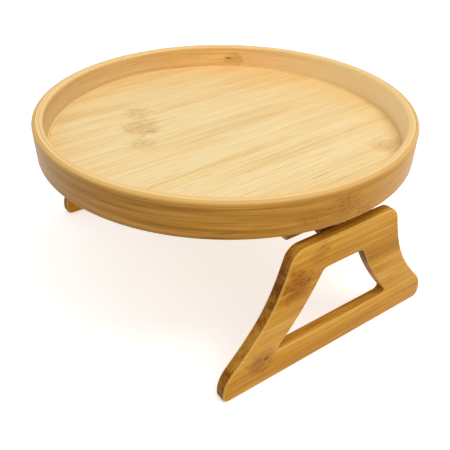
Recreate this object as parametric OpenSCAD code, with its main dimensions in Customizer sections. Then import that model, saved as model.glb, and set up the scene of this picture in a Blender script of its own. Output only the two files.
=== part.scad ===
// Sofa arm tray: a round rimmed tray on a board, with two sprung legs that grip a sofa arm.
// Millimetres. X runs across the sofa arm, Y along it, Z up; the origin is the centre of
// the footprint, level with the feet.

/* [Tray] */
// Outside diameter of the rim
tray_d = 250; // [200:1:320]
// Height of the rim
rim_h = 23; // [15:0.5:40]
// Thickness of each of the three bent plies of the rim
ply_t = 2.3; // [2.3:0.1:5]
// Radius on the rim's top and bottom edges
rim_round = 2; // [0.5:0.1:2.2]
// Radius of the cove where the inner ply meets the floor
cove_r = 1; // [0.6:0.1:5]
// Thickness of the floor panel
floor_t = 6.1; // [3:0.1:8]
// Depth of the rebate round the floor panel that the inner ply stands in
rebate_d = 0.8; // [0.4:0.1:1.5]
// Glue line between bonded bamboo pieces
glue_gap = 0.05; // [0.02:0.01:0.15]

/* [Base board] */
// How far the board's ends, and so the legs' inner faces, lie inside the rim's outer face
board_inset = 11; // [8:0.5:30]
// Width of the board along the sofa arm
board_w = 80; // [60:1:110]
// Thickness of the board
board_t = 6; // [6:0.5:14]
// Radius on the board's upright corners
board_corner_r = 1.5; // [1:0.5:10]

/* [Legs] */
// Height of a leg from its foot to its top edge
leg_h = 91.7; // [80:0.1:130]
// How far the top edge of a leg rises into the gap that the hinge needs
leg_rise = 1.3; // [0:0.1:1.4]
// Thickness of a leg
leg_t = 8; // [7:0.5:14]
// Width of the top edge, before its corners are rounded
leg_top_w = 79; // [60:1:100]
// Width across the two toes
leg_foot_w = 168.8; // [145:0.2:210]
// Height of the upright end of a toe
toe_h = 14.5; // [13:0.1:20]
// Radius that turns the flare down into the toe
toe_r = 22; // [10:1:24]
// Radius on the bottom corner of a toe
foot_corner_r = 4.5; // [1:0.1:5]
// Radius on the top corners
top_corner_r = 10; // [2:0.5:14]
// Lean of the side from upright, just below the top corner, in degrees
lean_top = 16; // [5:1:22]
// Lean of the side from upright, just above the toe, in degrees
lean_foot = 43; // [36:1:48]
// How far the upper lean is felt down the flare
flare_top = 30; // [15:1:34]
// How far the lower lean is felt up the flare
flare_foot = 32; // [15:1:36]

/* [Leg window] */
// Height of the bar left above the window
top_bar_h = 21.7; // [19:0.1:28]
// Height of the bar left below the window
foot_bar_h = 21.4; // [14:0.1:28]
// Width of the window's top edge, before rounding
window_top_w = 31; // [16:0.5:34]
// Width of the window's bottom edge, before rounding
window_foot_w = 95; // [80:1:100]
// Radius on the window's top corners
window_top_r = 4; // [1:0.1:5]
// Radius on the window's bottom corners
window_foot_r = 2.5; // [1:0.1:4]
// Lean of the window's side below its top corner, in degrees
window_lean_top = 25; // [12:1:28]
// Lean of the window's side above its bottom corner, in degrees
window_lean_foot = 40; // [34:1:46]
// How far each lean is felt along the window's side
window_flare = 16; // [8:1:20]

/* [Hinges] */
// Gap between a folded leg and the board, which the knuckle fills
hinge_gap = 4; // [3.5:0.1:6]
// Width of a hinge along the sofa arm
leaf_w = 32; // [30:1:48]
// Thickness of a leaf
leaf_t = 1.2; // [1.1:0.1:1.6]
// Length of the board leaf from the hinge axis
board_leaf_l = 20; // [17:1:30]
// Length of the leg leaf from the hinge axis
leg_leaf_l = 17; // [15:0.5:19]
// Radius of the hinge pin
pin_r = 1.5; // [1.2:0.05:1.6]
// How far the pin's ends lie inside the outer knuckles
pin_inset = 0.2; // [0.1:0.1:1]
// Running clearance between the pin and a knuckle's bore
pin_fit = 0.05; // [0.02:0.01:0.1]
// Clearance along the pin between neighbouring knuckles
knuckle_gap = 0.2; // [0.1:0.05:0.5]
// Clearance between a leaf's edge and the knuckles that turn past it
knuckle_clear = 0.4; // [0.3:0.05:0.8]
// Depth of a leaf's recess beyond the leaf's thickness, and the clearance round its edges
recess_clear = 0.1; // [0.05:0.05:0.3]

/* [Springs] */
// Radius of the spring wire
wire_r = 0.55; // [0.4:0.05:0.55]
// Clearance between the pin and the inside of the coil
coil_clear = 0.33; // [0.25:0.01:0.35]
// Turns in the coil
coil_turns = 4; // [3:1:5]
// Rise of the coil in each turn
coil_pitch = 1.7; // [1.6:0.05:1.8]
// Radius of the bend from the coil into each tang
tang_bend_r = 0.8; // [0.7:0.05:0.9]
// How deep each tang reaches into its knuckle
tang_l = 2; // [1:0.1:3]
// Clearance round each tang in its hole
tang_fit = 0.05; // [0.03:0.01:0.1]

/* [Screws] */
// Radius of a base board screw's shank
board_screw_r = 1.8; // [1.5:0.1:2.2]
// Radius of a base board screw's countersunk head
board_screw_head_r = 3.6; // [3:0.1:4.5]
// Distance between the outer base board screws, across the sofa arm
board_screw_span_x = 150; // [100:1:160]
// Distance between the two rows of base board screws, along the sofa arm
board_screw_span_y = 56; // [50:1:60]
// Radius of a leaf screw's shank
leaf_screw_r = 1.2; // [1:0.05:1.4]
// Radius of a leaf screw's countersunk head
leaf_screw_head_r = 2.4; // [2.1:0.1:2.6]
// Distance between the two screws of a leaf
leaf_screw_span = 19; // [14:0.5:20]
// Distance of a leaf's screws from its outer edge
leaf_screw_edge = 6; // [5:0.5:7]
// Clearance round a screw's shank and head
screw_fit = 0.05; // [0.02:0.01:0.1]
// Wood or bamboo left beyond a screw's tip
screw_cover = 1.6; // [1:0.1:3]

/* [Hidden] */
$fn = 96;

// Heights, from the feet up
axis_z = leg_h - leg_rise + hinge_gap / 2;
board_z = leg_h - leg_rise + hinge_gap;
tray_z = board_z + board_t;
floor_top = tray_z + floor_t;
ply_foot = floor_top - rebate_d + glue_gap;
rim_top = tray_z + rim_h;

// Radii, from the outside of the rim inwards
rim_r = tray_d / 2;
core_r = rim_r - ply_t - glue_gap;
inner_r = core_r - ply_t - glue_gap;
floor_r = inner_r;
cove_in_r = inner_r - ply_t - cove_r;

// The hinge of the +X side
face_x = tray_d / 2 - board_inset;
axis_x = face_x - hinge_gap / 2;
knuckle_r = hinge_gap / 2 + leaf_t;
bore_r = pin_r + pin_fit;
coil_r = pin_r + coil_clear + wire_r;
coil_l = coil_turns * coil_pitch;
spring_space = coil_l + 2 * (tang_bend_r + wire_r);
knuckle_l = (leaf_w / 2 - spring_space / 2 - knuckle_gap) / 2;
tang_r = norm([coil_r, tang_bend_r]);
tang_turn = atan(tang_bend_r / coil_r);
coil_start = 200;

// Screw lengths stop short of the far face of what they hold
board_screw_l = board_t + floor_t - screw_cover;
board_leaf_screw_l = board_t - screw_cover;
leg_leaf_screw_l = leg_t - screw_cover;

cut = 1;
arc_steps = 10;
curve_steps = 24;
coil_rings = 8;
wire_sides = 6;

rim_colour = [0.83, 0.61, 0.33];
floor_colour = [0.91, 0.76, 0.49];
leg_colour = [0.76, 0.54, 0.28];
board_colour = [0.72, 0.52, 0.29];
steel_colour = [0.35, 0.33, 0.32];
spring_colour = [0.55, 0.55, 0.56];

// Outlines

function unit(v) = v / norm(v);

function turned(v, a) = [v[0] * cos(a) - v[1] * sin(a), v[0] * sin(a) + v[1] * cos(a)];

// Points of the arc of radius r that rounds the corner p between its neighbours a and b
function corner(a, p, b, r) =
    let (u = unit(a - p),
         v = unit(b - p),
         half = acos(u * v) / 2,
         middle = p + unit(u + v) * r / sin(half),
         from = p + u * r / tan(half) - middle,
         to = p + v * r / tan(half) - middle,
         way = sign(from[0] * to[1] - from[1] * to[0]))
    [for (k = [0 : arc_steps]) middle + turned(from, way * (180 - 2 * half) * k / arc_steps)];

// Points between the ends of a cubic curve, the ends left out
function curve(a, b, c, d) =
    [for (k = [1 : curve_steps - 1])
        let (t = k / curve_steps, s = 1 - t)
        s * s * s * a + 3 * s * s * t * b + 3 * s * t * t * c + t * t * t * d];

// Direction that leans outwards from straight down, as [across, up]
function down(lean) = [sin(lean), -cos(lean)];

function mirrored(points) =
    [for (k = [len(points) - 1 : -1 : 0]) [-points[k][0], points[k][1]]];

// Right half of the leg's outline, from the top edge to the foot
function leg_half() =
    let (top = [leg_top_w / 2, leg_h],
         toe = [leg_foot_w / 2, toe_h],
         foot = [leg_foot_w / 2, 0],
         shoulder = corner([0, leg_h], top, top + down(lean_top), top_corner_r),
         turn = corner(toe - down(lean_foot), toe, foot, toe_r),
         tip = corner(toe, foot, [0, 0], foot_corner_r),
         start = shoulder[arc_steps],
         end = turn[0])
    concat(shoulder,
           curve(start, start + flare_top * down(lean_top),
                 end - flare_foot * down(lean_foot), end),
           turn, tip);

// Right half of the window's outline
function window_half() =
    let (top = [window_top_w / 2, leg_h - top_bar_h],
         foot = [window_foot_w / 2, foot_bar_h],
         upper = corner([0, top[1]], top, top + down(window_lean_top), window_top_r),
         lower = corner(foot - down(window_lean_foot), foot, [0, foot_bar_h], window_foot_r),
         start = upper[arc_steps],
         end = lower[0])
    concat(upper,
           curve(start, start + window_flare * down(window_lean_top),
                 end - window_flare * down(window_lean_foot), end),
           lower);

// Section of a ply between radii a and b, with chosen edges rounded
module ply(outer, low, round_out, round_in, cove) {
    a = outer - ply_t;
    tall = rim_top - low;
    rotate_extrude($fn = 180)
        translate([0, low])
            union() {
                difference() {
                    translate([a, 0]) square([ply_t, tall]);
                    if (round_out) {
                        edge(outer, tall, 1, 1);
                        edge(outer, 0, 1, -1);
                    }
                    if (round_in) edge(a, tall, -1, 1);
                }
                if (cove) translate([a, floor_top - low]) cove_section(floor_top - low);
            }
}

// What a rounded edge takes away: a corner at x, y that faces sx, sy
module edge(x, y, sx, sy) {
    translate([x, y]) scale([sx, sy])
        difference() {
            translate([-rim_round, -rim_round]) square(rim_round + cut);
            translate([-rim_round, -rim_round]) circle(rim_round, $fn = 48);
        }
}

// The hollow fillet at the foot of the inner ply, with the tongue that stands in the rebate
module cove_section(tongue) {
    difference() {
        translate([-cove_r, -tongue]) square([cove_r + glue_gap, cove_r + tongue]);
        translate([-cove_r, cove_r]) circle(cove_r, $fn = 48);
    }
}

// Countersunk wood screw: head level with z = 0, tip up
module screw(r, head_r, l) {
    neck = head_r - r;
    difference() {
        union() {
            cylinder(h = neck, r1 = head_r, r2 = r);
            translate([0, 0, neck]) cylinder(h = l - neck - 2 * r, r = r);
            translate([0, 0, l - 2 * r]) cylinder(h = 2 * r, r1 = r, r2 = r / 4);
        }
        for (a = [0, 90])
            rotate([0, 0, a])
                translate([0, 0, neck / 2 - cut])
                    cube([head_r * 1.1, head_r * 0.22, 2 * cut], center = true);
    }
}

// Hole for that screw
module screw_hole(r, head_r, l) {
    neck = head_r - r;
    wide = r + screw_fit;
    translate([0, 0, -cut]) cylinder(h = l + screw_fit + cut, r = wide);
    cylinder(h = neck, r1 = head_r + screw_fit, r2 = wide);
    translate([0, 0, -cut]) cylinder(h = cut, r = head_r + screw_fit);
}

module at_board_screws() {
    for (x = [-1, 0, 1], y = [-1, 1])
        translate([x * board_screw_span_x / 2, y * board_screw_span_y / 2, board_z])
            children();
}

module at_board_leaf_screws() {
    for (y = [-1, 1])
        translate([axis_x - board_leaf_l + leaf_screw_edge, y * leaf_screw_span / 2, board_z])
            children();
}

module at_leg_leaf_screws() {
    for (y = [-1, 1])
        translate([face_x, y * leaf_screw_span / 2, axis_z - leg_leaf_l + leaf_screw_edge])
            rotate([0, 90, 0]) children();
}

// Pieces of the tray

module floor_panel() {
    difference() {
        union() {
            translate([0, 0, tray_z]) cylinder(h = floor_t - rebate_d, r = floor_r, $fn = 180);
            translate([0, 0, tray_z]) cylinder(h = floor_t, r = cove_in_r - glue_gap, $fn = 180);
        }
        at_board_screws() screw_hole(board_screw_r, board_screw_head_r, board_screw_l);
    }
}

module board() {
    difference() {
        translate([0, 0, board_z]) linear_extrude(board_t) board_outline();
        at_board_screws() screw_hole(board_screw_r, board_screw_head_r, board_screw_l);
        for (side = [0, 180])
            rotate([0, 0, side]) {
                board_leaf_recess();
                at_board_leaf_screws()
                    screw_hole(leaf_screw_r, leaf_screw_head_r, board_leaf_screw_l);
            }
    }
}

module board_outline() {
    half = [face_x, board_w / 2];
    quarter = corner([0, half[1]], half, [half[0], 0], board_corner_r);
    right = concat(quarter, [for (k = [arc_steps : -1 : 0]) [quarter[k][0], -quarter[k][1]]]);
    polygon(concat(right, mirrored(right)));
}

module board_leaf_recess() {
    inner = axis_x - board_leaf_l - recess_clear;
    translate([inner, -leaf_w / 2 - recess_clear, board_z - cut])
        cube([face_x - inner + cut, leaf_w + 2 * recess_clear, leaf_t + recess_clear + cut]);
}

// Pieces of the +X side; the -X side is the same, turned half round

module leg() {
    bottom = axis_z - leg_leaf_l - recess_clear;
    difference() {
        translate([face_x, 0, 0])
            rotate([90, 0, 90])
                linear_extrude(leg_t)
                    difference() {
                        polygon(concat(leg_half(), mirrored(leg_half())));
                        polygon(concat(window_half(), mirrored(window_half())));
                    }
        translate([face_x - cut, -leaf_w / 2 - recess_clear, bottom])
            cube([leaf_t + recess_clear + cut, leaf_w + 2 * recess_clear, leg_h - bottom + cut]);
        at_leg_leaf_screws() screw_hole(leaf_screw_r, leaf_screw_head_r, leg_leaf_screw_l);
    }
}

// Starts of the two knuckles of each leaf along Y; the leaves take turns
function board_knuckles() = [-leaf_w / 2, spring_space / 2];

function leg_knuckles() = [for (y = board_knuckles()) y + knuckle_l + knuckle_gap];

module along_pin(y) {
    translate([axis_x, y, axis_z]) rotate([-90, 0, 0]) children();
}

module knuckle(y) {
    along_pin(y) cylinder(h = knuckle_l, r = knuckle_r);
}

module pin_bore() {
    along_pin(-leaf_w) cylinder(h = 2 * leaf_w, r = bore_r);
}

// Hole for a tang: angle round the axis, and the Y where it starts and ends
module tang_hole(angle, y0, y1) {
    translate([axis_x + tang_r * cos(angle), y0, axis_z + tang_r * sin(angle)])
        rotate([-90, 0, 0]) cylinder(h = y1 - y0, r = wire_r + tang_fit, $fn = 32);
}

module board_leaf() {
    plate_end = axis_x - knuckle_r - knuckle_clear;
    difference() {
        union() {
            translate([axis_x - board_leaf_l, -leaf_w / 2, board_z])
                cube([plate_end - axis_x + board_leaf_l, leaf_w, leaf_t]);
            for (y = board_knuckles()) {
                translate([plate_end - cut, y, board_z])
                    cube([axis_x - plate_end + cut, knuckle_l, leaf_t]);
                knuckle(y);
            }
        }
        pin_bore();
        tang_hole(end_angle(), spring_space / 2 - cut, spring_space / 2 + tang_l + tang_fit);
        at_board_leaf_screws() screw_hole(leaf_screw_r, leaf_screw_head_r, board_leaf_screw_l);
    }
}

module leg_leaf() {
    plate_end = axis_z - knuckle_r - knuckle_clear;
    difference() {
        union() {
            translate([face_x, -leaf_w / 2, axis_z - leg_leaf_l])
                cube([leaf_t, leaf_w, plate_end - axis_z + leg_leaf_l]);
            for (y = leg_knuckles()) {
                translate([face_x, y, plate_end - cut])
                    cube([leaf_t, knuckle_l, axis_z - plate_end + cut]);
                knuckle(y);
            }
        }
        pin_bore();
        tang_hole(start_angle(), -spring_space / 2 - tang_l - tang_fit, -spring_space / 2 + cut);
        at_leg_leaf_screws() screw_hole(leaf_screw_r, leaf_screw_head_r, leg_leaf_screw_l);
    }
}

module hinge_pin() {
    along_pin(-leaf_w / 2 + pin_inset) cylinder(h = leaf_w - 2 * pin_inset, r = pin_r);
}

// Torsion spring: the wire's middle runs tang, bend, coil, bend, tang

function start_angle() = coil_start - tang_turn;

function end_angle() = coil_start + 360 * coil_turns + tang_turn;

function on_coil(a, y) = [coil_r * cos(a), y, coil_r * sin(a)];

function forward(a) = [-sin(a), 0, cos(a)];

// A quarter bend out of the coil's end at angle a, towards side = 1 or -1 along Y
function bend(a, side) =
    [for (k = [1 : 3])
        let (t = 90 * k / 3)
        on_coil(a, side * coil_l / 2)
            + side * forward(a) * tang_bend_r * sin(t)
            + [0, side * tang_bend_r * (1 - cos(t)), 0]];

function tang_tip(a, side) =
    bend(a, side)[2] + [0, side * (wire_r + tang_l), 0];

function wire_path() =
    let (a0 = coil_start,
         a1 = coil_start + 360 * coil_turns,
         n = coil_turns * coil_rings,
         lead = bend(a0, -1))
    concat([tang_tip(a0, -1), lead[2], lead[1], lead[0]],
           [for (k = [0 : n]) on_coil(a0 + (a1 - a0) * k / n, -coil_l / 2 + coil_l * k / n)],
           bend(a1, 1), [tang_tip(a1, 1)]);

// Ring of points round the wire at path point k, turned so that one always faces outwards
function wire_ring(path, k) =
    let (last = len(path) - 1,
         along = unit(path[min(k + 1, last)] - path[max(k - 1, 0)]),
         out = unit([path[k][0], 0, path[k][2]]),
         up = unit(out - (out * along) * along),
         side = cross(along, up))
    [for (s = [0 : wire_sides - 1])
        let (a = 360 * s / wire_sides)
        path[k] + wire_r * (cos(a) * up + sin(a) * side)];

function wire_faces(rings) =
    concat([for (k = [0 : rings - 2], s = [0 : wire_sides - 1], half = [0, 1])
               let (a = k * wire_sides + s,
                    b = k * wire_sides + (s + 1) % wire_sides,
                    c = a + wire_sides,
                    d = b + wire_sides)
               half == 0 ? [a, b, d] : [a, d, c]],
           [for (s = [1 : wire_sides - 2]) [0, s + 1, s]],
           [for (s = [1 : wire_sides - 2])
               let (first = (rings - 1) * wire_sides)
               [first, first + s, first + s + 1]]);

// Least gap between the wire and itself, over points at least three quarters of a turn apart
function least_gap(path) =
    min([for (i = [0 : len(path) - 7], j = [i + 6 : len(path) - 1])
        norm(path[i] - path[j]) - 2 * wire_r]);

module torsion_spring() {
    path = wire_path();
    echo(least_gap_of_spring_to_itself_mm = least_gap(path));
    points = [for (k = [0 : len(path) - 1]) each wire_ring(path, k)];
    translate([axis_x, 0, axis_z]) polyhedron(points, wire_faces(len(path)));
}

// Nodes

module tray_floor() { color(floor_colour) floor_panel(); }

module rim_outer_ply() { color(rim_colour) ply(rim_r, tray_z, true, false, false); }

module rim_core_ply() { color(rim_colour) ply(core_r, tray_z, false, false, false); }

module rim_inner_ply() { color(rim_colour) ply(inner_r, ply_foot, false, true, true); }

module base_board() { color(board_colour) board(); }

module base_board_screws() {
    color(steel_colour)
        at_board_screws() screw(board_screw_r, board_screw_head_r, board_screw_l);
}

module right_leg() { color(leg_colour) leg(); }

module right_board_leaf() { color(steel_colour) board_leaf(); }

module right_leg_leaf() { color(steel_colour) leg_leaf(); }

module right_hinge_pin() { color(steel_colour) hinge_pin(); }

module right_torsion_spring() { color(spring_colour) torsion_spring(); }

module right_board_leaf_screws() {
    color(steel_colour)
        at_board_leaf_screws() screw(leaf_screw_r, leaf_screw_head_r, board_leaf_screw_l);
}

module right_leg_leaf_screws() {
    color(steel_colour)
        at_leg_leaf_screws() screw(leaf_screw_r, leaf_screw_head_r, leg_leaf_screw_l);
}

module left_leg() { rotate([0, 0, 180]) right_leg(); }

module left_board_leaf() { rotate([0, 0, 180]) right_board_leaf(); }

module left_leg_leaf() { rotate([0, 0, 180]) right_leg_leaf(); }

module left_hinge_pin() { rotate([0, 0, 180]) right_hinge_pin(); }

module left_torsion_spring() { rotate([0, 0, 180]) right_torsion_spring(); }

module left_board_leaf_screws() { rotate([0, 0, 180]) right_board_leaf_screws(); }

module left_leg_leaf_screws() { rotate([0, 0, 180]) right_leg_leaf_screws(); }

tray_floor();
rim_outer_ply();
rim_core_ply();
rim_inner_ply();
base_board();
base_board_screws();
right_leg();
right_board_leaf();
right_leg_leaf();
right_hinge_pin();
right_torsion_spring();
right_board_leaf_screws();
right_leg_leaf_screws();
left_leg();
left_board_leaf();
left_leg_leaf();
left_hinge_pin();
left_torsion_spring();
left_board_leaf_screws();
left_leg_leaf_screws();
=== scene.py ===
import math
import bmesh
import bpy
from mathutils import Matrix, Vector


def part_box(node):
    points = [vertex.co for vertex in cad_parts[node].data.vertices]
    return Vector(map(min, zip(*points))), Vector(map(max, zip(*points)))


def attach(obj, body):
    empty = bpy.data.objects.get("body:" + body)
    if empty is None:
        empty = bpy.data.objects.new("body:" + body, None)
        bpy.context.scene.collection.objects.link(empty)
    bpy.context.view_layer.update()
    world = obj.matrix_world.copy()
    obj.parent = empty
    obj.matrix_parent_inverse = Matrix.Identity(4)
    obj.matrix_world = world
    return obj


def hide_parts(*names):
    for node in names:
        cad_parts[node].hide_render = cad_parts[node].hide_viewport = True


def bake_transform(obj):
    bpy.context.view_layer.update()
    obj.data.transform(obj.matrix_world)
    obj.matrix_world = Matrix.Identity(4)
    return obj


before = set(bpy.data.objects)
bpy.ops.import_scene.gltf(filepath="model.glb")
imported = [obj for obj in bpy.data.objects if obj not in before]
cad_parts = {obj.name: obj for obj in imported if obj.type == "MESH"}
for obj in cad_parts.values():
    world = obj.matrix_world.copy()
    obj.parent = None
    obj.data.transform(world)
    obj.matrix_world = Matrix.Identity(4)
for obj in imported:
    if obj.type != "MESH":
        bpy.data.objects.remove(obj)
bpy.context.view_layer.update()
print("frame loaded,", len(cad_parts), "nodes")

mm = 0.001
sides = {"right": 1, "left": -1}  # which side of the sofa arm, and its sign along X


# camera, room and lamps

cameraSetup = {
    "place": (0.28688, -0.20062, 0.26875),
    "right": (0.5682, 0.8228, 0.0109),
    "up": (-0.4781, 0.3192, 0.8182),
    "lens": 44.34,      # on a 36 mm sensor
}


def makeCamera(setup):
    right = Vector(setup["right"]).normalized()
    back = right.cross(Vector(setup["up"])).normalized()
    up = back.cross(right)
    camera = bpy.data.objects.new("camera", bpy.data.cameras.new("camera"))
    camera.data.sensor_width = 36
    camera.data.lens = setup["lens"]
    camera.data.clip_start = 0.01
    turn = Matrix((right, up, back)).transposed().to_4x4()
    camera.matrix_world = Matrix.Translation(setup["place"]) @ turn
    bpy.context.collection.objects.link(camera)
    bpy.context.scene.camera = camera


makeCamera(cameraSetup)

roomSetup = {
    "floorSize": 8.0,
    "floorColour": (0.90, 0.90, 0.89, 1),
    "floorGlow": 0.52,      # seen directly only, so the floor is white and keeps a pale shadow
    "skyLight": 0.62,
    "keyPower": 9.0,
    "keyPlace": (0.55, 0.30, 1.50),
    "keySize": 0.9,
    "fillPower": 0.8,
    "fillPlace": (1.3, -0.7, 0.6),
    "fillSize": 1.2,
}


def addNode(tree, kind, **values):
    node = tree.nodes.new(kind)
    for key, value in values.items():
        setattr(node, key, value)
    return node


def plug(tree, value, socket):
    if isinstance(value, bpy.types.NodeSocket):
        tree.links.new(value, socket)
    else:
        socket.default_value = value


def calc(tree, operation, *values, clamp=False):
    node = addNode(tree, "ShaderNodeMath", operation=operation, use_clamp=clamp)
    for socket, value in zip(node.inputs, values):
        plug(tree, value, socket)
    return node.outputs[0]


def seenDirectly(tree):
    # 1 for what the camera sees straight on, in a mirror or through glass
    path = addNode(tree, "ShaderNodeLightPath")
    shiny = calc(tree, "MAXIMUM", path.outputs["Is Camera Ray"], path.outputs["Is Glossy Ray"])
    return calc(tree, "MAXIMUM", shiny, path.outputs["Is Transmission Ray"])


def makeRoom(setup):
    world = bpy.data.worlds.new("paleRoom")
    world.use_nodes = True
    tree = world.node_tree
    tree.nodes.clear()
    light = addNode(tree, "ShaderNodeBackground")
    light.inputs["Color"].default_value = (1, 1, 1, 1)
    light.inputs["Strength"].default_value = setup["skyLight"]
    white = addNode(tree, "ShaderNodeBackground")
    white.inputs["Color"].default_value = (1, 1, 1, 1)
    white.inputs["Strength"].default_value = 1.0
    mix = addNode(tree, "ShaderNodeMixShader")
    output = addNode(tree, "ShaderNodeOutputWorld")
    tree.links.new(seenDirectly(tree), mix.inputs[0])
    tree.links.new(light.outputs[0], mix.inputs[1])
    tree.links.new(white.outputs[0], mix.inputs[2])
    tree.links.new(mix.outputs[0], output.inputs[0])
    bpy.context.scene.world = world

    paper = bpy.data.materials.new("paperFloor")
    paper.use_nodes = True
    tree = paper.node_tree
    tree.nodes.clear()
    matt = addNode(tree, "ShaderNodeBsdfDiffuse")
    matt.inputs["Color"].default_value = setup["floorColour"]
    glow = addNode(tree, "ShaderNodeEmission")
    shown = calc(tree, "MULTIPLY", seenDirectly(tree), setup["floorGlow"])
    tree.links.new(shown, glow.inputs["Strength"])
    both = addNode(tree, "ShaderNodeAddShader")
    output = addNode(tree, "ShaderNodeOutputMaterial")
    tree.links.new(matt.outputs[0], both.inputs[0])
    tree.links.new(glow.outputs[0], both.inputs[1])
    tree.links.new(both.outputs[0], output.inputs["Surface"])

    half = setup["floorSize"] / 2
    mesh = bpy.data.meshes.new("roomFloor")
    corners = [(-half, -half, 0), (half, -half, 0), (half, half, 0), (-half, half, 0)]
    mesh.from_pydata(corners, [], [(0, 1, 2, 3)])
    mesh.materials.append(paper)
    floor = bpy.data.objects.new("roomFloor", mesh)
    bpy.context.collection.objects.link(floor)


def makeLamp(name, setup, target):
    power, place, size = (setup[name + part] for part in ("Power", "Place", "Size"))
    lamp = bpy.data.lights.new(name + "Lamp", "AREA")
    lamp.shape = "DISK"
    lamp.energy = power
    lamp.size = size
    lampObject = bpy.data.objects.new(name + "Lamp", lamp)
    lampObject.location = place
    aim = Vector(target) - Vector(place)
    lampObject.rotation_euler = aim.to_track_quat("-Z", "Y").to_euler()
    bpy.context.collection.objects.link(lampObject)


makeRoom(roomSetup)
bpy.context.scene.view_settings.view_transform = "Standard"
for name in ("key", "fill"):
    makeLamp(name, roomSetup, (0, 0, 0.08))     # both aim at the middle of the tray
print("camera, room and lamps made")


# materials

def srgb(r, g, b):
    # colours are written as they look on a screen, 0 to 255
    straight = [c / 255 / 12.92 if c <= 10 else ((c / 255 + 0.055) / 1.055) ** 2.4
                for c in (r, g, b)]
    return (*straight, 1)


grainMarks = {                  # length and width of the marks in mm, seed, detail
    "broad": (150, 9, 3.1, 3.0),
    "streak": (70, 2.4, 7.7, 3.0),
    "fibre": (30, 0.6, 1.3, 4.0),
    "vessel": (22, 0.45, 5.2, 1.0),
    "knotEdge": (7, 5, 2.2, 2.0),
    "fleck": (3.2, 1.1, 9.4, 3.0),
}
woodMasks = {                   # the noise or tone where each starts, and how steeply it rises
    "vessel": (0.58, 6.0),
    "fleck": (0.52, 7.0),
    "endGrain": (0.35, 1.9),
    "paleStrip": (0.38, 4.0),
}
knotShape = {"ragged": 2.2, "gain": 1.5, "sunk": 0.6}
woodFinish = {"coatRoughness": 0.30, "roughSwing": 0.16, "bump": 0.35, "bumpDepth": 0.00012}
toneStops = {"dark": 0.18, "mid": 0.5, "pale": 0.85}
ringRadius = 121.0              # of the rim's middle, mm
crossStrips = {"width": 17.0, "swing": 0.5}     # of the rim and the board; mm, share of the tint

floorBamboo = {
    "grain": "along Y",
    "turn": -3.0,               # degrees that the floor's grain is off the Y axis
    "dark": srgb(228, 184, 110),
    "mid": srgb(247, 217, 152),
    "pale": srgb(252, 232, 180),
    "broad": 0.95, "streak": 0.65, "fibre": 0.42, "tint": 0.34,
    "lines": 0.7,
    "lineColour": srgb(212, 164, 88),
    "knotPatch": srgb(222, 178, 106), "knotShade": 0.75,
    "knotColour": srgb(180, 126, 52), "knotFleck": 0.60,
    "knots": [  # across, along, half width across, half length along, strength; mm
        (-52, -38, 13, 12, 0.6), (-30, -48, 15, 16, 0.85),
        (-8, -60, 11, 13, 0.5), (86, 64, 11, 14, 0.55),
    ],
    "warmSide": (-2.112, 3.2256),       # share of warmColour gained per metre of X and of Y
    "warmColour": srgb(252, 203, 126),
    "roughness": 0.42, "shine": 0.30, "coat": 0.10,
}
rimBamboo = {
    "grain": "round",
    "dark": srgb(134, 82, 12),
    "mid": srgb(184, 126, 38),
    "pale": srgb(216, 162, 74),
    "broad": 0.90, "streak": 0.95, "fibre": 0.7, "tint": 0.30,
    "lines": 0.75,
    "lineColour": srgb(118, 70, 10),
    "knotPatch": srgb(168, 102, 16), "knotShade": 0.85,
    "knotColour": srgb(116, 58, 0), "knotFleck": 0.9,
    "knots": [  # height, degrees round, half width and half length, strength
        (111, -4, 9, 12, 0.85), (104, 2, 7, 10, 0.75), (110, -14, 6, 10, 0.5),
    ],
    # painted light on one side of the rim and painted shade on the other: which way, share, colour
    "paintedSideLight": [(1, 0.45, srgb(230, 164, 58)), (-1, 0.5, srgb(150, 120, 66))],
    "paintedLightAxis": (0.57, 0.82),   # the painted side light and shade change along this direction
    # paler where the face looks up: partly the plies' own paler top edge, partly painted light from
    # above
    "topToneAndPaintedLight": srgb(240, 198, 126), "topToneAndLightGain": 1.25,
    "seamLine": 119.4,          # height of a fine dark line under the rounded edge
    "seamHalf": 0.55, "seamGain": 1.3,
    "roughness": 0.38, "shine": 0.12, "coat": 0.04,
}
innerRimBamboo = dict(
    rimBamboo,
    dark=srgb(212, 148, 66),
    mid=srgb(244, 193, 112),
    pale=srgb(254, 218, 150),
    broad=0.95,
    lineColour=srgb(196, 132, 56),
    knotPatch=srgb(206, 146, 70),
    knotColour=srgb(150, 92, 26),
    knots=[(113, 142, 7, 9, 0.7)],
    # painted side light and shade, as on the outer ply
    paintedSideLight=[(1, 1.0, srgb(255, 234, 188)), (-1, 0.65, srgb(196, 168, 128))],
    seamLine=None,
    shine=0.16,
    coat=0.03,
)
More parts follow.
